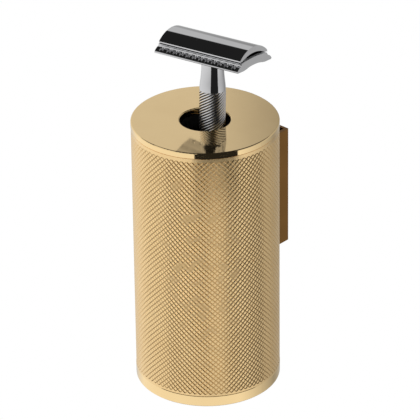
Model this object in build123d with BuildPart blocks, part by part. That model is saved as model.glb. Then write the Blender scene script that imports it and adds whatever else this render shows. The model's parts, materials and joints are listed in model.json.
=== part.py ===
from build123d import *

import os
from math import cos, radians, sin

# Razor stand: a knurled cylinder that stands on a counter or hangs on a wall bracket, with a
# lift-out lid whose well holds a double-edge safety razor leaning against the lid's hole.
# Millimetres. The origin is the centre of the foot, +Z is up and the wall is on the +Y side.

os.makedirs("parts", exist_ok=True)

# Knurled body and its base
body_radius = 32.0
trim_radius = 32.1  # the polished base and lid stand a hair proud of the knurling
body_wall = 2.0
body_bore = body_radius - body_wall
pad_proud = 0.2
base_top = 5.3
sleeve_top = 122.7
lid_top = 125.5
seam_chamfer = 0.25
edge_round = 0.5
foot_edge_round = 0.3

pad_radius = 27.0
pad_recess = 1.5
locating_step = 2.0
ring_bore = 19.5
ring_height = 4.0
base_screw_circle = 23.5
base_screw_count = 3

# Lid and the well under it
hole_radius = 11.0
lid_plate = 3.0
spigot_radius = 29.6
spigot_depth = 7.0
seal_height = 119.0
seal_section = 0.93
seal_groove_floor = 28.0
seal_groove_width = 1.9
seal_lift = 0.05
well_radius = 11.3
well_wall = 1.3
well_floor = 1.5
well_bottom = 62.5
flange_radius = 15.0
flange_height = 1.5
clamp_seat_radius = 15.2
clamp_ring_height = 3.5
well_pad_height = 2.0
well_pad_play = 0.15
well_foot_round = 1.2
spanner_slot_width = 2.0
spanner_slot_depth = 1.4

# Wall bracket and the hanger block that it carries
bracket_width = 29.2
bracket_back = 37.7
bracket_middle = 83.7
bracket_height = 55.4
bracket_sheet = 1.5
bracket_corner = 0.4
bracket_gap = 0.35
bracket_reach = 3.0
wall_hole_spacing = 36.0
wall_hole_radius = 2.25
wall_sink_radius = 3.4
wall_sink_angle = 100

hanger_width = 20.0
hanger_back = 35.6
hanger_below = 25.5
hanger_above = 23.0
hanger_skin = 1.2
keyhole_drop = 8.0
keyhole_play = 0.3
head_play = 0.4
stud_heights = (bracket_middle - 11.0, bracket_middle + 11.0)
stud_neck_radius = 2.0
stud_head_radius = 3.5
stud_head_height = 1.2
stud_head_gap = 0.35
stud_tail_radius = 1.5
hanger_screw_heights = (bracket_middle - 4.0, bracket_middle + 19.0)
nut_plate_inner = 27.9
nut_plate_width = 16.0
nut_plate_margin = 5.0
glide_width = 3.2
glide_height = 40.0
glide_thickness = 0.55
glide_corner = 1.0

# M3 countersunk screws
screw_radius = 1.5
screw_head_radius = 2.75
screw_clearance = 0.2
socket_radius = 1.15
socket_depth = 1.0

# Razor: it leans on the rim of the hole, and heights along its axis count from the rest point
lean_angle = 6.8
lean_azimuth = 124.2
head_azimuth = 6.0
rest_point = (-0.11, 4.75, lid_top - 0.5)
grip_radius = 5.8
grip_bore = 3.5
grip_top = 12.4
grip_bottom = -53.5
foot_bottom = -58.6
foot_round = 1.6
neck_foot_radius = 5.7
neck_waist = (5.3, 17.0)
neck_radius = 4.85
neck_collar = 5.0
neck_top = 28.7
spigot_fit = 3.45
foot_spigot = 6.0
neck_spigot = 8.0
insert_bottom = 17.0
insert_seat = 0.5
insert_short = 0.2

# Razor head: heights count from the lower face of the safety bars
head_base = 28.4
comb_length = 44.0
comb_shoulder = (4.2, 3.35)
comb_ledge = (8.9, 2.85)
comb_step = (9.7, 1.65)
comb_slope = (11.55, 0.65)
comb_nose = (12.35, -0.35)
comb_lip = (12.2, -0.7)
comb_bottom = (11.7, -0.85)
comb_underside = [(9.9, -0.85), (7.1, -0.8), (4.3, -0.25)]
comb_middle = 0.1
comb_crown = 3.5
slot_count = 10
slot_pitch = 3.38
slot_width = 2.3
slot_inner = 9.8
slot_outer = 12.0
end_slot_place = 19.1
pin_place = 16.0
pin_radius = 1.5
pin_top = 6.2
stud_radius = 2.5
stud_bore = 2.55
stud_end = -9.0
stud_top = 7.0
stud_tip_chamfer = 0.5
stud_boss_width = 1.5
stud_boss_drop = 0.9
stud_boss_height = 1.2
head_clearance = 0.3
neck_seat = 0.4
blade_length = 42.6
blade_edge = (10.4, 2.9)
blade_middle = 3.65
blade_thickness = 0.1
blade_slot_width = 2.0
blade_slot_short = 6.0
cap_length = 43.0
cap_half_width = 9.75
cap_lip = 3.35
cap_facet = 0.5
cap_crown = 7.95
cap_vault = 5.3
cap_lip_inner = 8.3


def outline_face(plane, points):
    """The flat face inside a closed outline of points."""
    with BuildSketch(plane) as face:
        with BuildLine():
            Polyline(*points, close=True)
        make_face()
    return face.sketch


def countersunk_screw(plane, length):
    """An M3 screw with its flat head on the plane and its shank behind it."""
    head_depth = screw_head_radius - screw_radius
    with BuildPart() as screw:
        with BuildSketch(plane):
            Circle(screw_head_radius)
        extrude(amount=-head_depth, taper=45)
        with BuildSketch(plane):
            Circle(screw_radius)
        extrude(amount=-length)
        with BuildSketch(plane):
            RegularPolygon(radius=socket_radius, side_count=6)
        extrude(amount=-socket_depth, mode=Mode.SUBTRACT)
    return screw.part


def finish(builder, name):
    """Label a finished sub-part and write it."""
    builder.part.label = name
    export_step(builder.part, f"parts/{name}.step")


# Body of the stand ---------------------------------------------------------------------------

hanger_screw_planes = [
    Plane(origin=(0, hanger_back, height), x_dir=(1, 0, 0), z_dir=(0, 1, 0))
    for height in hanger_screw_heights
]

with BuildPart() as sleeve:
    with BuildSketch(Plane.XY.offset(base_top)):
        Circle(body_radius)
        Circle(body_bore, mode=Mode.SUBTRACT)
    extrude(amount=sleeve_top - base_top)
    chamfer(sleeve.edges().filter_by(GeomType.CIRCLE).group_by(SortBy.RADIUS)[-1], seam_chamfer)
    with Locations(*hanger_screw_planes):
        Hole(radius=screw_radius + screw_clearance, depth=bracket_back - body_bore)
finish(sleeve, "knurled_sleeve")

screw_seat = pad_proud + pad_recess
base_screw_seats = Plane(origin=(0, 0, screw_seat), x_dir=(1, 0, 0), z_dir=(0, 0, -1))

with BuildPart() as base_cap:
    with BuildSketch(Plane.XY.offset(pad_proud)):
        Circle(trim_radius)
    extrude(amount=base_top - pad_proud)
    fillet(base_cap.edges().sort_by(Axis.Z)[0], foot_edge_round)
    chamfer(base_cap.edges().sort_by(Axis.Z)[-1], seam_chamfer)
    with BuildSketch(Plane.XY.offset(base_top)):
        Circle(body_bore - screw_clearance)
    extrude(amount=locating_step)
    with BuildSketch(Plane.XY.offset(pad_proud)):
        Circle(pad_radius + screw_clearance)
    extrude(amount=pad_recess, mode=Mode.SUBTRACT)
    with Locations(base_screw_seats):
        with PolarLocations(base_screw_circle, base_screw_count):
            CounterSinkHole(
                radius=screw_radius + screw_clearance,
                counter_sink_radius=screw_head_radius + screw_clearance,
                depth=base_top + locating_step,
                counter_sink_angle=90,
            )
finish(base_cap, "base_cap")

ring_bottom = base_top + locating_step
with BuildPart() as base_ring:
    with BuildSketch(Plane.XY.offset(ring_bottom)):
        Circle(body_bore)
        Circle(ring_bore, mode=Mode.SUBTRACT)
        with PolarLocations(base_screw_circle, base_screw_count):
            Circle(screw_radius, mode=Mode.SUBTRACT)
    extrude(amount=ring_height)
finish(base_ring, "base_ring")

base_screw_angles = [turn * 360 / base_screw_count for turn in range(base_screw_count)]
base_screw_planes = [
    Plane(
        origin=(
            base_screw_circle * cos(radians(angle)),
            base_screw_circle * sin(radians(angle)),
            screw_seat,
        ),
        z_dir=(0, 0, -1),
    )
    for angle in base_screw_angles
]
base_screw_length = ring_bottom + ring_height - screw_seat
base_screw_list = [countersunk_screw(place, base_screw_length) for place in base_screw_planes]
with BuildPart() as base_screws:
    add(base_screw_list)
finish(base_screws, "base_screws")

with BuildPart() as foot_pad:
    Cylinder(pad_radius, screw_seat, align=(Align.CENTER, Align.CENTER, Align.MIN))
    chamfer(foot_pad.edges().group_by(Axis.Z)[0], seam_chamfer)
finish(foot_pad, "foot_pad")

# Hanger on the back of the body --------------------------------------------------------------

hanger_low = bracket_middle - hanger_below
hanger_high = bracket_middle + hanger_above
hanger_face = Plane(origin=(0, hanger_back, 0), x_dir=(-1, 0, 0), z_dir=(0, 1, 0))

with BuildPart() as hanger_block:
    with BuildSketch(Plane.XY.offset(hanger_low)):
        with Locations((0, hanger_back)):
            Rectangle(hanger_width, hanger_back - body_bore, align=(Align.CENTER, Align.MAX))
        Circle(body_radius, mode=Mode.SUBTRACT)
    extrude(amount=hanger_high - hanger_low)
    chamfer(hanger_block.faces().sort_by(Axis.Y)[-1].edges(), edge_round)
    with BuildSketch(hanger_face):
        for height in stud_heights:
            with Locations((0, height - keyhole_drop / 2)):
                SlotCenterToCenter(keyhole_drop, 2 * (stud_neck_radius + keyhole_play), rotation=90)
            with Locations((0, height - keyhole_drop)):
                Circle(stud_head_radius + head_play)
    extrude(amount=-(hanger_back - body_bore), mode=Mode.SUBTRACT)
    with BuildSketch(hanger_face.offset(-hanger_skin)):
        for height in stud_heights:
            with Locations((0, height - keyhole_drop / 2)):
                SlotCenterToCenter(keyhole_drop, 2 * (stud_head_radius + head_play), rotation=90)
    extrude(amount=-(hanger_back - body_bore), mode=Mode.SUBTRACT)
    with Locations(*hanger_screw_planes):
        CounterSinkHole(
            radius=screw_radius + screw_clearance,
            counter_sink_radius=screw_head_radius,
            depth=hanger_back - body_bore,
            counter_sink_angle=90,
        )
finish(hanger_block, "hanger_block")

hanger_screw_length = hanger_back - nut_plate_inner
hanger_screw_list = [countersunk_screw(place, hanger_screw_length) for place in hanger_screw_planes]
with BuildPart() as hanger_screws:
    add(hanger_screw_list)
finish(hanger_screws, "hanger_screws")

nut_plate_low = min(hanger_screw_heights) - nut_plate_margin
nut_plate_high = max(hanger_screw_heights) + nut_plate_margin
with BuildPart() as nut_plate:
    with BuildSketch(Plane.XY.offset(nut_plate_low)):
        Circle(body_bore)
        Circle(nut_plate_inner, mode=Mode.SUBTRACT)
        with Locations((0, body_bore)):
            Rectangle(nut_plate_width, body_bore, mode=Mode.INTERSECT)
    extrude(amount=nut_plate_high - nut_plate_low)
    with Locations(*hanger_screw_planes):
        Hole(radius=screw_radius, depth=hanger_back - nut_plate_inner + 1)
finish(nut_plate, "nut_plate")

with BuildPart() as glide_pads:
    with BuildSketch(hanger_face):
        with Locations((0, bracket_middle)):
            with GridLocations(hanger_width - 2 * edge_round - glide_width, 0, 2, 1):
                RectangleRounded(glide_width, glide_height, glide_corner)
    extrude(amount=glide_thickness)
finish(glide_pads, "glide_pads")

# Wall bracket --------------------------------------------------------------------------------

bracket_low = bracket_middle - bracket_height / 2
bracket_inner = bracket_back - bracket_sheet
bracket_front = Plane(origin=(0, bracket_inner, bracket_middle), x_dir=(1, 0, 0), z_dir=(0, -1, 0))

with BuildPart() as wall_bracket:
    with BuildSketch(Plane.XY.offset(bracket_low)):
        with Locations((0, bracket_back)):
            flange_reach = bracket_back - body_bore + bracket_reach
            Rectangle(bracket_width, flange_reach, align=(Align.CENTER, Align.MAX))
        Circle(body_radius + bracket_gap, mode=Mode.SUBTRACT)
    extrude(amount=bracket_height)
    back_corners = wall_bracket.edges().filter_by(Axis.Z).group_by(Axis.Y)[-1]
    fillet(back_corners, bracket_corner)
    with BuildSketch(Plane.XY.offset(bracket_low)):
        with Locations((0, bracket_inner)):
            channel_width = bracket_width - 2 * bracket_sheet
            Rectangle(channel_width, bracket_inner, align=(Align.CENTER, Align.MAX))
    extrude(amount=bracket_height, mode=Mode.SUBTRACT)
    with Locations(bracket_front):
        with GridLocations(0, wall_hole_spacing, 1, 2):
            CounterSinkHole(
                radius=wall_hole_radius,
                counter_sink_radius=wall_sink_radius,
                depth=bracket_sheet,
                counter_sink_angle=wall_sink_angle,
            )
        with Locations(*[(0, height - bracket_middle) for height in stud_heights]):
            Hole(radius=stud_tail_radius, depth=bracket_sheet)
finish(wall_bracket, "wall_bracket")

stud_head_face = hanger_back - hanger_skin - stud_head_height - stud_head_gap
with BuildPart() as bracket_studs:
    for height in stud_heights:
        stud_plane = Plane(origin=(0, bracket_back, height), x_dir=(1, 0, 0), z_dir=(0, -1, 0))
        with BuildSketch(stud_plane):
            Circle(stud_tail_radius)
        extrude(amount=bracket_sheet)
        with BuildSketch(stud_plane.offset(bracket_sheet)):
            Circle(stud_neck_radius)
        extrude(amount=bracket_inner - stud_head_face)
        with BuildSketch(stud_plane.offset(bracket_back - stud_head_face)):
            Circle(stud_head_radius)
        extrude(amount=-stud_head_height)
finish(bracket_studs, "bracket_studs")

# Lid, seal and well --------------------------------------------------------------------------

plate_bottom = lid_top - lid_plate
spigot_bottom = sleeve_top - spigot_depth
groove_low = seal_height - seal_groove_width / 2
groove_high = seal_height + seal_groove_width / 2

with BuildPart() as lid:
    revolve(
        outline_face(
            Plane.XZ,
            [
                (hole_radius, lid_top),
                (trim_radius, lid_top),
                (trim_radius, sleeve_top),
                (spigot_radius, sleeve_top),
                (spigot_radius, groove_high),
                (seal_groove_floor, groove_high),
                (seal_groove_floor, groove_low),
                (spigot_radius, groove_low),
                (spigot_radius, spigot_bottom),
                (clamp_seat_radius, spigot_bottom),
                (clamp_seat_radius, plate_bottom),
                (hole_radius, plate_bottom),
            ],
        ),
        axis=Axis.Z,
    )
    top_rims = lid.edges().filter_by(GeomType.CIRCLE).group_by(Axis.Z)[-1]
    fillet(top_rims, edge_round)
    outer_rims = lid.edges().filter_by(GeomType.CIRCLE).group_by(SortBy.RADIUS)[-1]
    chamfer(outer_rims.sort_by(Axis.Z)[0], seam_chamfer)
finish(lid, "lid")

with BuildPart() as lid_seal:
    with Locations((0, 0, seal_height)):
        Torus(seal_groove_floor + seal_lift + seal_section, seal_section)
finish(lid_seal, "lid_seal")

well_outer = well_radius + well_wall
flange_bottom = plate_bottom - flange_height
with BuildPart() as well:
    revolve(
        outline_face(
            Plane.XZ,
            [
                (0, well_bottom),
                (well_outer, well_bottom),
                (well_outer, flange_bottom),
                (flange_radius, flange_bottom),
                (flange_radius, plate_bottom),
                (well_radius, plate_bottom),
                (well_radius, well_bottom + well_floor),
                (0, well_bottom + well_floor),
            ],
        ),
        axis=Axis.Z,
    )
    fillet(well.edges().filter_by(GeomType.CIRCLE).sort_by(Axis.Z)[0], well_foot_round)
finish(well, "razor_well")

with BuildPart() as clamp_ring:
    with BuildSketch(Plane.XY.offset(flange_bottom - clamp_ring_height)):
        Circle(clamp_seat_radius)
        Circle(well_outer + screw_clearance, mode=Mode.SUBTRACT)
    extrude(amount=clamp_ring_height)
    with BuildSketch(Plane.XY.offset(flange_bottom - clamp_ring_height)):
        Rectangle(2 * clamp_seat_radius + 2, spanner_slot_width)
    extrude(amount=spanner_slot_depth, mode=Mode.SUBTRACT)
finish(clamp_ring, "well_clamp_ring")

with BuildPart() as well_pad:
    with BuildSketch(Plane.XY.offset(well_bottom + well_floor)):
        Circle(well_radius - well_pad_play)
    extrude(amount=well_pad_height)
finish(well_pad, "well_pad")

# Razor handle --------------------------------------------------------------------------------

lean_across = sin(radians(lean_angle))
lean_direction = (
    lean_across * cos(radians(lean_azimuth)),
    lean_across * sin(radians(lean_azimuth)),
    cos(radians(lean_angle)),
)
razor = Plane(
    origin=rest_point,
    x_dir=(cos(radians(head_azimuth)), sin(radians(head_azimuth)), 0),
    z_dir=lean_direction,
)
razor_front = Plane(origin=razor.origin, x_dir=razor.x_dir, z_dir=-razor.y_dir)
razor_side = Plane(origin=razor.origin, x_dir=razor.y_dir, z_dir=razor.x_dir)
razor_axis = Axis(razor.origin, razor.z_dir)

with BuildPart() as handle_grip:
    with BuildSketch(razor.offset(grip_bottom)):
        Circle(grip_radius)
        Circle(grip_bore, mode=Mode.SUBTRACT)
    extrude(amount=grip_top - grip_bottom)
finish(handle_grip, "handle_grip")

with BuildPart() as handle_foot:
    with BuildSketch(razor.offset(foot_bottom)):
        Circle(grip_radius)
    extrude(amount=grip_bottom - foot_bottom)
    foot_rims = handle_foot.edges().filter_by(GeomType.CIRCLE).sort_by(Axis.Z)
    fillet(foot_rims[0], foot_round)
    with BuildSketch(razor.offset(grip_bottom)):
        Circle(spigot_fit)
    extrude(amount=foot_spigot)
finish(handle_foot, "handle_foot")

with BuildPart() as handle_neck:
    with BuildSketch(razor_front):
        with BuildLine():
            waist = (neck_radius, neck_top - neck_collar)
            Polyline(
                (neck_foot_radius, grip_top),
                (spigot_fit, grip_top),
                (spigot_fit, grip_top - neck_spigot),
                (0, grip_top - neck_spigot),
                (0, insert_bottom - insert_seat),
                (spigot_fit, insert_bottom - insert_seat),
                (spigot_fit, neck_top),
                (neck_radius, neck_top),
                waist,
            )
            Spline(waist, neck_waist, (neck_foot_radius, grip_top), tangents=[(0, -1), (0, -1)])
        make_face()
    revolve(axis=razor_axis)
finish(handle_neck, "handle_neck")

with BuildPart() as thread_insert:
    with BuildSketch(razor.offset(insert_bottom)):
        Circle(spigot_fit)
        Circle(stud_bore, mode=Mode.SUBTRACT)
    extrude(amount=neck_top - insert_bottom - insert_short)
finish(thread_insert, "thread_insert")

# Razor head ----------------------------------------------------------------------------------

head_plane = razor.offset(head_base)
head_side = Plane(origin=head_plane.origin, x_dir=razor_side.x_dir, z_dir=razor_side.z_dir)

with BuildPart() as comb_plate:
    with BuildSketch(head_side.offset(-comb_length / 2)):
        with BuildLine():
            Spline((0, comb_crown), comb_shoulder, comb_ledge, tangents=[(1, 0), (1, -0.15)])
            Line(comb_ledge, comb_step)
            ThreePointArc(comb_step, comb_slope, comb_nose)
            ThreePointArc(comb_nose, comb_lip, comb_bottom)
            Spline(comb_bottom, *comb_underside, (0, comb_middle), tangents=[(-1, 0), (-1, 0)])
            mirror(about=Plane.YZ)
        make_face()
    extrude(amount=comb_length)
    with BuildSketch(head_plane.offset(cap_lip)):
        slot_reach = slot_outer - slot_width / 2
        for side in (-1, 1):
            with GridLocations(slot_pitch, 0, slot_count, 1):
                with Locations((0, side * (slot_inner + slot_reach) / 2)):
                    Rectangle(slot_width, slot_reach - slot_inner)
                with Locations((0, side * slot_reach)):
                    Circle(slot_width / 2)
            with GridLocations(2 * end_slot_place, 0, 2, 1):
                with Locations((0, side * (slot_inner + slot_reach) / 2)):
                    Rectangle(slot_width, slot_reach - slot_inner)
                with Locations((0, side * slot_reach)):
                    Circle(slot_width / 2)
    extrude(amount=-2 * cap_lip, mode=Mode.SUBTRACT)
    with BuildSketch(head_plane):
        Circle(stud_radius + head_clearance)
        with GridLocations(2 * pin_place, 0, 2, 1):
            Circle(pin_radius + head_clearance)
    extrude(amount=2 * cap_crown, both=True, mode=Mode.SUBTRACT)
    with BuildSketch(head_plane.offset(-cap_lip)):
        Circle(neck_radius + bracket_gap)
    extrude(amount=cap_lip + neck_seat, mode=Mode.SUBTRACT)
finish(comb_plate, "comb_plate")

blade_edge_far = (-blade_edge[0], blade_edge[1])
blade_thin = Vector(0, blade_thickness)
with BuildPart() as blade:
    with BuildSketch(head_side.offset(-blade_length / 2)):
        with BuildLine():
            lower = ThreePointArc(blade_edge_far, (0, blade_middle), blade_edge)
            upper = ThreePointArc(*[lower @ share + blade_thin for share in (0, 0.5, 1)])
            Line(lower @ 0, upper @ 0)
            Line(lower @ 1, upper @ 1)
        make_face()
    extrude(amount=blade_length)
    with BuildSketch(head_plane.offset(cap_vault)):
        Circle(stud_radius + head_clearance)
        with GridLocations(2 * pin_place, 0, 2, 1):
            Circle(pin_radius + head_clearance)
        SlotOverall(2 * pin_place - blade_slot_short, blade_slot_width)
    extrude(amount=-cap_lip, mode=Mode.SUBTRACT)
finish(blade, "blade")

facet_top = cap_lip + cap_facet
with BuildPart() as razor_cap:
    with BuildSketch(head_side.offset(-cap_length / 2)):
        with BuildLine():
            Polyline(
                (-cap_lip_inner, cap_lip),
                (-cap_half_width, cap_lip),
                (-cap_half_width, facet_top),
            )
            ThreePointArc((-cap_half_width, facet_top), (0, cap_crown), (cap_half_width, facet_top))
            Polyline(
                (cap_half_width, facet_top),
                (cap_half_width, cap_lip),
                (cap_lip_inner, cap_lip),
            )
            ThreePointArc((cap_lip_inner, cap_lip), (0, cap_vault), (-cap_lip_inner, cap_lip))
        make_face()
    extrude(amount=cap_length)
    with BuildSketch(head_plane.offset(cap_vault - stud_boss_drop)):
        Circle(stud_radius + stud_boss_width)
    extrude(amount=stud_boss_height)
    with BuildSketch(head_plane):
        Circle(stud_radius)
    extrude(amount=stud_top, mode=Mode.SUBTRACT)
    with BuildSketch(head_plane):
        with GridLocations(2 * pin_place, 0, 2, 1):
            Circle(pin_radius)
    extrude(amount=pin_top, mode=Mode.SUBTRACT)
finish(razor_cap, "razor_cap")

with BuildPart() as cap_stud:
    with BuildSketch(head_plane.offset(stud_end)):
        Circle(stud_radius)
    extrude(amount=stud_top - stud_end)
    chamfer(cap_stud.edges().filter_by(GeomType.CIRCLE).sort_by(Axis.Z)[0], stud_tip_chamfer)
finish(cap_stud, "cap_stud")

with BuildPart() as cap_pins:
    with BuildSketch(head_plane):
        with GridLocations(2 * pin_place, 0, 2, 1):
            Circle(pin_radius)
    extrude(amount=pin_top)
finish(cap_pins, "cap_pins")
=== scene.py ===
"""Looks of the razor stand: knurled brass body, polished lid and a chrome safety razor."""

import json
from math import atan2, cos, pi, radians, sin, tau

import bpy
import numpy as np
from mathutils import Matrix, Vector


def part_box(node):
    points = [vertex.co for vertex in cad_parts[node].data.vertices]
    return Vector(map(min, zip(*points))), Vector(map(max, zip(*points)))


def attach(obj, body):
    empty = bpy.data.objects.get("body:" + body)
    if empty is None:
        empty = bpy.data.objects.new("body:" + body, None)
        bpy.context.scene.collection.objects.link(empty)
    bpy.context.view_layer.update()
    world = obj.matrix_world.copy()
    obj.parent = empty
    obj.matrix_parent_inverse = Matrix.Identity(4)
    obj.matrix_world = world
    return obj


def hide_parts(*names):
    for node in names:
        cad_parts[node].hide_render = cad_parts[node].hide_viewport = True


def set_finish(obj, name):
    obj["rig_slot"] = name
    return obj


MM = 0.001

# Camera: which side it looks from, its lens, and where the lid's centre falls in the picture.
CAMERA_AZIMUTH = radians(43.0)
CAMERA_ELEVATION = radians(28.73)
CAMERA_ROLL = -0.0121
CAMERA_LENS = 282.0
CAMERA_SENSOR = 36.0
CAMERA_DISTANCE = 1.4127
LID_CENTRE_RIGHT = -2.14 * MM
LID_CENTRE_UP = 39.03 * MM

# Knurl of the body: diamond teeth with flat tops, between two plain bands.
KNURL_STARTS = 88
KNURL_ROW_HEIGHT = 2.33 * MM / 2
KNURL_DEPTH = 0.17 * MM
KNURL_SMOOTH = radians(20.0)
TOOTH_TOP = 0.66
BAND_TOP = 1.6 * MM
BAND_BOTTOM = 0.8 * MM
BODY_WALL = 2.0 * MM

# Grooves of the grip: a many-start right-hand helix. The land is its share of the pitch, and
# its edges are rounded off by a share of the groove's depth.
GRIP_STARTS = 16
GRIP_PITCH = 1.28 * MM
GRIP_DEPTH = 0.38 * MM
GRIP_LAND = 0.45
GRIP_LAND_EDGE = 0.12
GRIP_SMOOTH = radians(70.0)
GRIP_RADIUS = 5.8 * MM
GRIP_END_INSET = 0.15 * MM
GRIP_FROM = -53.5 * MM
GRIP_TO = 12.4 * MM
GRIP_RING_STEP = 0.45 * MM
HEAD_JOINT_HEIGHT = 28.7 * MM

# Metals: two colours that drift into each other, roughness and its spread, and how many times
# closer together the hairlines lie along each axis. Relief is (scale, depth) of its bumps.
METALS = {
    "brass_knurled": {
        "light": (0.91, 0.66, 0.34),
        "dark": (0.87, 0.62, 0.31),
        "roughness": 0.26,
        "spread": 0.04,
        "grain": (1.0, 1.0, 12.0),
    },
    "brass_polished": {
        "light": (0.93, 0.695, 0.365),
        "dark": (0.90, 0.665, 0.345),
        "roughness": 0.06,
        "spread": 0.015,
    },
    # The bracket's brass is darkened far below the body's brass: painted shade on a copy of the
    # same metal.
    "brass_bracket": {
        "light": (0.24, 0.115, 0.025),
        "dark": (0.20, 0.095, 0.020),
        "roughness": 0.16,
        "spread": 0.03,
        "grain": (20.0, 1.0, 1.0),
    },
    "brass_raw": {
        "light": (0.70, 0.53, 0.26),
        "dark": (0.64, 0.47, 0.22),
        "roughness": 0.32,
        "spread": 0.06,
        "grain": (1.0, 1.0, 30.0),
    },
    "steel_fasteners": {
        "light": (0.62, 0.62, 0.60),
        "dark": (0.52, 0.53, 0.53),
        "roughness": 0.28,
        "spread": 0.08,
        "grain": (1.0, 1.0, 8.0),
    },
    "zinc_block": {
        "light": (0.42, 0.43, 0.44),
        "dark": (0.34, 0.35, 0.36),
        "roughness": 0.52,
        "spread": 0.08,
        "relief": (2600.0, 0.05 * MM),
    },
    "chrome_polished": {
        "light": (0.62, 0.62, 0.625),
        "dark": (0.58, 0.58, 0.59),
        "roughness": 0.04,
        "spread": 0.015,
    },
    "chrome_grip": {
        "light": (0.84, 0.84, 0.85),
        "dark": (0.78, 0.78, 0.80),
        "roughness": 0.27,
        "spread": 0.05,
    },
    "blade_steel": {
        "light": (0.66, 0.67, 0.68),
        "dark": (0.58, 0.59, 0.61),
        "roughness": 0.2,
        "spread": 0.05,
        "grain": (1.0, 30.0, 30.0),
    },
}

# Rubber, nylon and moulded plastic: two mottled colours, roughness, and (scale, depth) of the pits.
MATT_SOLIDS = {
    "rubber_black": {
        "light": (0.030, 0.029, 0.028),
        "dark": (0.018, 0.018, 0.018),
        "roughness": 0.75,
        "relief": (1800.0, 0.06 * MM),
    },
    "nylon_white": {
        "light": (0.80, 0.79, 0.75),
        "dark": (0.72, 0.71, 0.67),
        "roughness": 0.45,
        "relief": (1200.0, 0.02 * MM),
    },
    "plastic_black": {
        "light": (0.016, 0.015, 0.014),
        "dark": (0.010, 0.010, 0.010),
        "roughness": 0.42,
        "relief": (2400.0, 0.03 * MM),
    },
}

# Painted shade that darkens the grooves: its colour, its greatest share of the metal's colour, and
# the shares of the groove's depth between which it builds up.
GROOVE_SHADES = {
    "brass_knurled": {"colour": (0.72, 0.47, 0.19), "share": 0.75, "start": 0.25, "end": 1.0},
    "chrome_grip": {"colour": (0.045, 0.043, 0.04), "share": 0.92, "start": 0.1, "end": 0.9},
}

# Scales of the noise in every metal, in features per metre, and its relief.
COLOUR_PATCHES = 60.0
GLOSS_CLOUDS = 220.0
HAIRLINES = 900.0
HAIRLINE_SHARE = 0.25
RIPPLE = (35.0, 0.02 * MM)

# Scales of the noise in every matt solid, and how far its roughness wanders.
MOTTLING = 400.0
MATT_CLOUDS = 900.0
MATT_SPREAD = 0.08

# Sockets of the colour mixing node: its factor and the two colours that go in, and the result.
MIX_FACTOR = 0
MIX_ONE = 6
MIX_TWO = 7
MIX_RESULT = 2

# Surroundings. Angles are in degrees, and azimuths are turned to the right from the camera's
# side, as the camera sees it. Tones are (azimuth, brightness): the low ones hold up to LOW_TO,
# the high ones from HIGH_FROM, and they blend between the two.
FLOOR_RADIUS = 6.0
FLOOR_SIDES = 96
STUDIO_RADIUS = 5.0
STUDIO_STEP = 1.0
PANEL_MARGIN = 2.0
LOW_TONES = (
    (-180, 0.55),
    (-126, 1.00),
    (-78, 1.00),
    (-42, 0.97),
    (-10, 0.95),
    (52, 0.98),
    (90, 0.68),
    (130, 0.35),
    (180, 0.55),
)
HIGH_TONES = (
    (-180, 0.68),
    (-120, 0.95),
    (-60, 0.80),
    (0, 0.50),
    (60, 0.60),
    (120, 0.55),
    (176, 0.31),
    (178, 0.37),
    (179, 0.52),
    (180, 0.67),
)
LOW_TO = -20.0
HIGH_FROM = 10.0
CEILING_FROM = 41.0
CEILING_TONE = 0.02
BELOW_FROM = -62.0
BELOW_MARGIN = 10.0
BELOW_TONE = 0.05
FRONT_WEST = -16.0
FRONT_EAST = 48.0
FRONT_BOTTOM = -22.0
FRONT_TOP = 45.0
FRONT_TONE = 0.02
CARD_INNER = 0.235
CARD_OUTER = 0.9
CARD_SIDES = 32

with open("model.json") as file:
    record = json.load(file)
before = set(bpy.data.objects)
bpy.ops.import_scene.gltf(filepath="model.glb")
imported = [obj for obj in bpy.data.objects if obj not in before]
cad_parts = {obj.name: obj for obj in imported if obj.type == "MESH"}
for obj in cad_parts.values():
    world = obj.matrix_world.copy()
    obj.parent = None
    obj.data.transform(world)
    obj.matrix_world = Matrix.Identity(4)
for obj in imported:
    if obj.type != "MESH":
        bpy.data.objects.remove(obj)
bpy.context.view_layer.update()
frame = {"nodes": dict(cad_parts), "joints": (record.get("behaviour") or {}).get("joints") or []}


# ---------------------------------------------------------------- meshes


def mesh_object(name, vertices, faces, smooth_angle=None):
    """A new object in the scene from plain lists, flat shaded or smooth up to an angle."""
    mesh = bpy.data.meshes.new(name)
    mesh.from_pydata([tuple(v) for v in vertices], [], faces)
    mesh.validate()
    mesh.update()
    if smooth_angle is not None:
        mesh.polygons.foreach_set("use_smooth", [True] * len(mesh.polygons))
        mesh.set_sharp_from_angle(angle=smooth_angle)
    obj = bpy.data.objects.new(name, mesh)
    bpy.context.scene.collection.objects.link(obj)
    return obj


def store(obj, name, values):
    """One number for each of the mesh's points, which a material can read."""
    attribute = obj.data.attributes.new(name, "FLOAT", "POINT")
    attribute.data.foreach_set("value", values)


def bridge(faces, one, two, outward=True):
    """Quads between two rings, each given as a list of point numbers of equal length."""
    for i in range(len(one)):
        j = (i + 1) % len(one)
        quad = (one[i], one[j], two[j], two[i])
        faces.append(quad if outward else quad[::-1])


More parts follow.
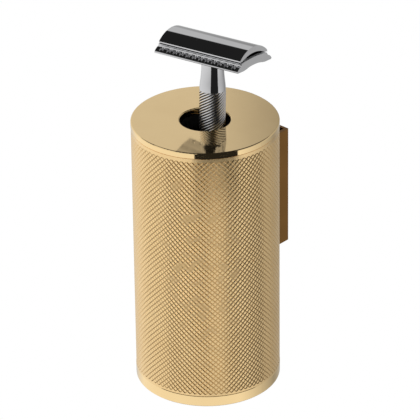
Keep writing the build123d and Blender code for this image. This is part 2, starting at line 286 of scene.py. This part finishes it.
class Knurl:
    """Truncated diamond teeth round a tube, cut by two crossing families of grooves.

    Rows and columns count half teeth. Grooves cross where the row and the column are both even
    or both odd, and every other place is the middle of a tooth.
    """

    def __init__(self, low, high):
        self.low = low.z
        self.high = high.z
        self.outer = high.x
        self.start = low.z + BAND_BOTTOM
        knurled = high.z - BAND_TOP - self.start
        self.rows = int(round(knurled / KNURL_ROW_HEIGHT / 2)) * 2
        self.step = knurled / self.rows
        self.half = pi / KNURL_STARTS
        self.vertices = []
        self.faces = []
        self.depths = []
        self.crossings = {}
        self.edges = {0: [], self.rows: []}

    def point(self, radius, angle, height, depth=0.0):
        """Adds a point with its share of the groove's depth, and gives its number."""
        self.vertices.append((radius * cos(angle), radius * sin(angle), height))
        self.depths.append(depth)
        return len(self.vertices) - 1

    def places(self, odd):
        """Each row and column of the groove crossings (odd is 0) or of the teeth (odd is 1)."""
        for row in range(self.rows + 1):
            for column in range((row + odd) % 2, 2 * KNURL_STARTS, 2):
                yield row, column

    def crossing(self, row, column):
        """The point where two grooves cross, with columns counted on round the tube."""
        return self.crossings[row, column % (2 * KNURL_STARTS)]

    def tooth(self, row, column):
        """One tooth: its flat top, and the flanks down to the grooves round it."""
        angle = column * self.half
        height = self.start + row * self.step
        left = self.crossing(row, column - 1)
        right = self.crossing(row, column + 1)
        tip_left = self.point(self.outer, angle - self.half * TOOTH_TOP, height)
        tip_right = self.point(self.outer, angle + self.half * TOOTH_TOP, height)
        top = [tip_left, tip_right]
        if row > 0:
            below = self.crossing(row - 1, column)
            tip_below = self.point(self.outer, angle, height - self.step * TOOTH_TOP)
            self.faces.append((left, below, tip_below, tip_left))
            self.faces.append((below, right, tip_right, tip_below))
            top.insert(1, tip_below)
        if row < self.rows:
            above = self.crossing(row + 1, column)
            tip_above = self.point(self.outer, angle, height + self.step * TOOTH_TOP)
            self.faces.append((right, above, tip_above, tip_right))
            self.faces.append((above, left, tip_left, tip_above))
            top.append(tip_above)
        self.faces.append(tuple(top))
        if row in self.edges:
            self.edges[row].extend([left, tip_left, tip_right])

    def band(self, row, end, outward):
        """The plain band from the knurl's ragged edge to the tube's end, and on to its bore."""
        edge = self.edges[row]
        height = self.start + row * self.step
        angles = [atan2(self.vertices[place][1], self.vertices[place][0]) for place in edge]
        shoulder = [self.point(self.outer, angle, height) for angle in angles]
        rim = [self.point(self.outer, angle, end) for angle in angles]
        bore = [self.point(self.outer - BODY_WALL, angle, end) for angle in angles]
        for one, two in ((edge, shoulder), (shoulder, rim), (rim, bore)):
            bridge(self.faces, one, two, outward)
        return bore

    def build(self):
        """The teeth, then the two plain bands, then the bore."""
        root = self.outer - KNURL_DEPTH
        for row, column in self.places(0):
            height = self.start + row * self.step
            self.crossings[row, column] = self.point(root, column * self.half, height, 1.0)
        for row, column in self.places(1):
            self.tooth(row, column)
        bottom_bore = self.band(0, self.low, False)
        top_bore = self.band(self.rows, self.high, True)
        for i in range(len(top_bore)):
            j = (i + 1) % len(top_bore)
            self.faces.append((bottom_bore[j], bottom_bore[i], top_bore[i], top_bore[j]))


def knurled_sleeve():
    """The body tube with its knurl."""
    low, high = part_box("knurled_sleeve")
    knurl = Knurl(low, high)
    knurl.build()
    obj = mesh_object("sleeve_knurl", knurl.vertices, knurl.faces, KNURL_SMOOTH)
    store(obj, "groove", knurl.depths)
    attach(obj, "stand")
    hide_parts("knurled_sleeve")
    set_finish(obj, "brass_knurled")
    return obj


def razor_axis():
    """Where the razor's axis starts, its direction, and two directions across it."""
    joint = next(j for j in frame["joints"] if j["name"] == "head_turn")
    along = Vector(joint["axis"]).normalized()
    across = Vector((1.0, 0.0, 0.0))
    across = (across - along * across.dot(along)).normalized()
    return Vector(joint["pos_m"]) - along * HEAD_JOINT_HEIGHT, along, across, along.cross(across)


def grip_profile():
    """Offsets round one groove pitch: (fraction of the pitch, share of the groove's depth)."""
    ramp = (1.0 - GRIP_LAND) / 2
    return (
        (0.0, GRIP_LAND_EDGE),
        (GRIP_LAND / 2, 0.0),
        (GRIP_LAND, GRIP_LAND_EDGE),
        (GRIP_LAND + ramp * 0.5, 0.5),
        (GRIP_LAND + ramp, 1.0),
        (GRIP_LAND + ramp * 1.5, 0.5),
    )


def grooved_ring(height, inset):
    """Points round the grip at one height, each with its share of the groove's depth."""
    origin, along, across, over = razor_axis()
    turn = tau * height / (GRIP_PITCH * GRIP_STARTS)
    for start in range(GRIP_STARTS):
        for fraction, depth in grip_profile():
            angle = turn + tau * (start + fraction) / GRIP_STARTS
            radius = GRIP_RADIUS - max(GRIP_DEPTH * depth, inset)
            outward = across * cos(angle) + over * sin(angle)
            yield origin + along * height + outward * radius, depth


def grooved_grip():
    """The razor's grip, cut by a many-start helix that rises to the right."""
    rings = int(round((GRIP_TO - GRIP_FROM) / GRIP_RING_STEP))
    count = GRIP_STARTS * len(grip_profile())
    vertices = []
    depths = []
    faces = []
    for k in range(rings + 1):
        height = GRIP_FROM + (GRIP_TO - GRIP_FROM) * k / rings
        inset = GRIP_END_INSET if k in (0, rings) else 0.0
        for point, depth in grooved_ring(height, inset):
            vertices.append(point)
            depths.append(depth)
        if k:
            bridge(faces, range((k - 1) * count, k * count), range(k * count, (k + 1) * count))
    faces.append(tuple(range(count))[::-1])
    faces.append(tuple(range(rings * count, (rings + 1) * count)))
    obj = mesh_object("grip_grooves", vertices, faces, GRIP_SMOOTH)
    store(obj, "groove", depths)
    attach(obj, "handle")
    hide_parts("handle_grip")
    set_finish(obj, "chrome_grip")
    return obj


# ---------------------------------------------------------------- materials


def rgba(red, green, blue):
    return (red, green, blue, 1.0)


class Graph:
    """A material's nodes, with short calls to add one and to feed it."""

    def __init__(self, name):
        self.material = bpy.data.materials.new(name)
        self.material.use_nodes = True
        self.tree = self.material.node_tree
        self.shader = self.tree.nodes["Principled BSDF"]
        coordinates = self.tree.nodes.new("ShaderNodeTexCoord")
        self.place = coordinates.outputs["Object"]

    def add(self, kind, inputs, output=0, **settings):
        """A new node's output. Inputs are by socket name or number, and sockets are linked."""
        node = self.tree.nodes.new(kind)
        for key, value in settings.items():
            setattr(node, key, value)
        for key, value in inputs.items():
            self.feed(node.inputs[key], value)
        return node.outputs[output]

    def feed(self, socket, value):
        """Links a socket's value, and sets any other."""
        if isinstance(value, bpy.types.NodeSocket):
            self.tree.links.new(value, socket)
        else:
            socket.default_value = value

    def set(self, name, value):
        """Feeds one input of the main shader."""
        self.feed(self.shader.inputs[name], value)

    def stretched(self, scale):
        """Object coordinates scaled along each axis."""
        return self.add("ShaderNodeMapping", {"Vector": self.place, "Scale": scale})

    def noise(self, scale, detail, coordinates=None, roughness=0.5):
        inputs = {
            "Vector": coordinates or self.place,
            "Scale": scale,
            "Detail": detail,
            "Roughness": roughness,
        }
        return self.add("ShaderNodeTexNoise", inputs)

    def remap(self, value, low, high, start=0.3, end=0.7):
        """A value between start and end spread over low to high."""
        inputs = {
            "Value": value,
            "From Min": start,
            "From Max": end,
            "To Min": low,
            "To Max": high,
        }
        return self.add("ShaderNodeMapRange", inputs)

    def mix(self, amount, one, two):
        """Two colours mixed by a factor."""
        inputs = {MIX_FACTOR: amount, MIX_ONE: one, MIX_TWO: two}
        return self.add("ShaderNodeMix", inputs, MIX_RESULT, data_type="RGBA")

    def relief(self, scale, depth):
        """Bumps of a size and depth on the main shader."""
        height = self.noise(scale, detail=2.0)
        inputs = {"Height": height, "Distance": depth, "Strength": 1.0}
        self.set("Normal", self.add("ShaderNodeBump", inputs))


def metal(name, light, dark, roughness, spread, grain=(1.0, 1.0, 1.0), relief=RIPPLE):
    """A metal with slow colour drift, clouds and hairlines in its gloss, and a faint relief."""
    g = Graph(name)
    drift = g.remap(g.noise(COLOUR_PATCHES, detail=4.0), 0.0, 1.0)
    g.set("Base Color", g.mix(drift, rgba(*light), rgba(*dark)))
    clouds = g.noise(GLOSS_CLOUDS, detail=6.0)
    gloss = g.remap(clouds, roughness - spread, roughness + spread)
    lines = g.noise(HAIRLINES, detail=5.0, coordinates=g.stretched(grain), roughness=0.7)
    scratches = g.remap(lines, 0.0, HAIRLINE_SHARE * spread, start=0.58, end=0.75)
    g.set("Metallic", 1.0)
    g.set("Roughness", g.add("ShaderNodeMath", {0: gloss, 1: scratches}))
    g.relief(*relief)
    return g


def matt_solid(name, light, dark, roughness, relief):
    """Rubber, nylon or moulded plastic: mottled colour and a fine matt texture."""
    g = Graph(name)
    mottling = g.remap(g.noise(MOTTLING, detail=5.0), 0.0, 1.0)
    g.set("Base Color", g.mix(mottling, rgba(*light), rgba(*dark)))
    clouds = g.noise(MATT_CLOUDS, detail=3.0)
    g.set("Roughness", g.remap(clouds, roughness - MATT_SPREAD, roughness + MATT_SPREAD))
    g.relief(*relief)
    return g


def paint_groove_shade(g, colour, share, start, end):
    """Lays painted shade low in the grooves, over the metal's own colour."""
    depth = g.add("ShaderNodeAttribute", {}, "Fac", attribute_name="groove")
    # Painted shade: the deeper a point lies in its groove, the more of the dark colour it takes.
    amount = g.remap(depth, 0.0, share, start, end)
    under = g.shader.inputs["Base Color"].links[0].from_socket
    g.set("Base Color", g.mix(amount, under, rgba(*colour)))


def all_materials():
    """The material of each slot."""
    graphs = {slot: metal(slot, **finish) for slot, finish in METALS.items()}
    graphs.update({slot: matt_solid(slot, **finish) for slot, finish in MATT_SOLIDS.items()})
    # Painted shade darkens the grooves of the knurled body and of the grip.
    for slot, groove_shade in GROOVE_SHADES.items():
        paint_groove_shade(graphs[slot], **groove_shade)
    return {slot: graph.material for slot, graph in graphs.items()}


def paint(obj, material):
    obj.data.materials.clear()
    obj.data.materials.append(material)


def paint_everything(new_pieces):
    """Every CAD node takes the material of its packed slot, and new pieces their own."""
    made = all_materials()
    for obj in frame["nodes"].values():
        packed = obj.data.materials[0].name.split(".")[0]
        paint(obj, made[packed])
    for obj in new_pieces:
        paint(obj, made[obj["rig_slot"]])


# ---------------------------------------------------------------- surroundings


def glow(name, strength):
    """A plain glowing surface for the floor and the cards round the object."""
    material = bpy.data.materials.new(name)
    material.use_nodes = True
    tree = material.node_tree
    tree.nodes.clear()
    emission = tree.nodes.new("ShaderNodeEmission")
    emission.inputs["Color"].default_value = rgba(1.0, 1.0, 1.0)
    emission.inputs["Strength"].default_value = strength
    output = tree.nodes.new("ShaderNodeOutputMaterial")
    tree.links.new(emission.outputs[0], output.inputs["Surface"])
    return material


def direction(azimuth, elevation):
    """Unit vector for an azimuth turned to the right from the camera's side, in degrees."""
    angle = CAMERA_AZIMUTH + radians(azimuth)
    flat = cos(radians(elevation))
    return Vector((sin(angle) * flat, -cos(angle) * flat, sin(radians(elevation))))


def floor():
    """A white floor that reflections don't see, as the studio stands in for it there."""
    angles = [tau * i / FLOOR_SIDES for i in range(FLOOR_SIDES)]
    points = [(FLOOR_RADIUS * cos(angle), FLOOR_RADIUS * sin(angle), 0.0) for angle in angles]
    obj = mesh_object("floor", points, [tuple(range(FLOOR_SIDES))])
    paint(obj, glow("floor_white", 1.0))
    obj.visible_glossy = False


def only_in_reflections(obj):
    """Stages a card that the camera and matt surfaces don't see."""
    obj.visible_camera = False
    obj.visible_diffuse = False
    obj.visible_shadow = False
    obj.visible_transmission = False


def between(value, low, high, margin):
    """One from low to high, falling to zero over the margin on either side."""
    gap = max(low - value, value - high, 0.0)
    return max(0.0, 1.0 - gap / margin)


def studio_tone(azimuth, elevation):
    """How bright the studio is in one direction."""
    low = np.interp(azimuth, *zip(*LOW_TONES))
    high = np.interp(azimuth, *zip(*HIGH_TONES))
    share = min(1.0, max(0.0, (elevation - LOW_TO) / (HIGH_FROM - LOW_TO)))
    tone = low + (high - low) * share
    ceiling = between(elevation, CEILING_FROM, 90.0, PANEL_MARGIN)
    tone += (CEILING_TONE - tone) * ceiling
    below = between(elevation, -90.0, BELOW_FROM, BELOW_MARGIN)
    tone += (BELOW_TONE - tone) * below
    front = between(azimuth, FRONT_WEST, FRONT_EAST, PANEL_MARGIN)
    front *= between(elevation, FRONT_BOTTOM, FRONT_TOP, PANEL_MARGIN)
    return tone + (FRONT_TONE - tone) * front


def studio_material():
    """A glow whose strength is the tone stored at each point."""
    material = glow("studio_panels", 1.0)
    tree = material.node_tree
    reader = tree.nodes.new("ShaderNodeAttribute")
    reader.attribute_name = "tone"
    tree.links.new(reader.outputs["Fac"], tree.nodes["Emission"].inputs["Strength"])
    return material


def studio():
    """A sphere of soft panels round the object, which only reflections see."""
    columns = int(360 / STUDIO_STEP)
    rows = int(180 / STUDIO_STEP)
    vertices = []
    tones = []
    for row in range(rows + 1):
        for column in range(columns + 1):
            azimuth = column * STUDIO_STEP - 180.0
            elevation = row * STUDIO_STEP - 90.0
            vertices.append(direction(azimuth, elevation) * STUDIO_RADIUS)
            tones.append(studio_tone(azimuth, elevation))
    faces = []
    for row in range(rows):
        for column in range(columns):
            one = row * (columns + 1) + column
            faces.append((one, one + 1, one + columns + 2, one + columns + 1))
    obj = mesh_object("studio", vertices, faces)
    store(obj, "tone", tones)
    paint(obj, studio_material())
    only_in_reflections(obj)


def front_card():
    """A dark card on the floor before the object, which the lid's rim mirrors."""
    turns = [FRONT_WEST + (FRONT_EAST - FRONT_WEST) * k / CARD_SIDES for k in range(CARD_SIDES + 1)]
    edge = [direction(turn, 0.0) * CARD_INNER for turn in turns]
    edge += [direction(turn, 0.0) * CARD_OUTER for turn in reversed(turns)]
    obj = mesh_object("front_card", edge, [tuple(range(len(edge)))])
    paint(obj, glow("card_black", FRONT_TONE))
    only_in_reflections(obj)


def sky():
    """Even white light from all round, for the matt parts and the background."""
    world = bpy.data.worlds.new("studio")
    bpy.context.scene.world = world
    world.use_nodes = True
    background = world.node_tree.nodes["Background"]
    background.inputs["Color"].default_value = rgba(1.0, 1.0, 1.0)
    background.inputs["Strength"].default_value = 1.0


def camera():
    """The camera, placed so that the lid's centre falls where it does in the picture."""
    back = direction(0.0, 0.0) * cos(CAMERA_ELEVATION)
    back.z = sin(CAMERA_ELEVATION)
    right = direction(90.0, 0.0)
    up = back.cross(right)
    rolled_right = right * cos(CAMERA_ROLL) + up * sin(CAMERA_ROLL)
    rolled_up = up * cos(CAMERA_ROLL) - right * sin(CAMERA_ROLL)
    lid_centre = Vector((0.0, 0.0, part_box("lid")[1].z))
    place = lid_centre - rolled_right * LID_CENTRE_RIGHT - rolled_up * LID_CENTRE_UP
    place += back * CAMERA_DISTANCE
    data = bpy.data.cameras.new("camera")
    data.lens = CAMERA_LENS
    data.sensor_width = CAMERA_SENSOR
    obj = bpy.data.objects.new("camera", data)
    bpy.context.scene.collection.objects.link(obj)
    turned = Matrix((rolled_right, rolled_up, back)).transposed().to_4x4()
    obj.matrix_world = Matrix.Translation(place) @ turned
    bpy.context.scene.camera = obj


bpy.context.scene.view_settings.view_transform = "Standard"
camera()
sky()
floor()
studio()
front_card()
paint_everything([knurled_sleeve(), grooved_grip()])
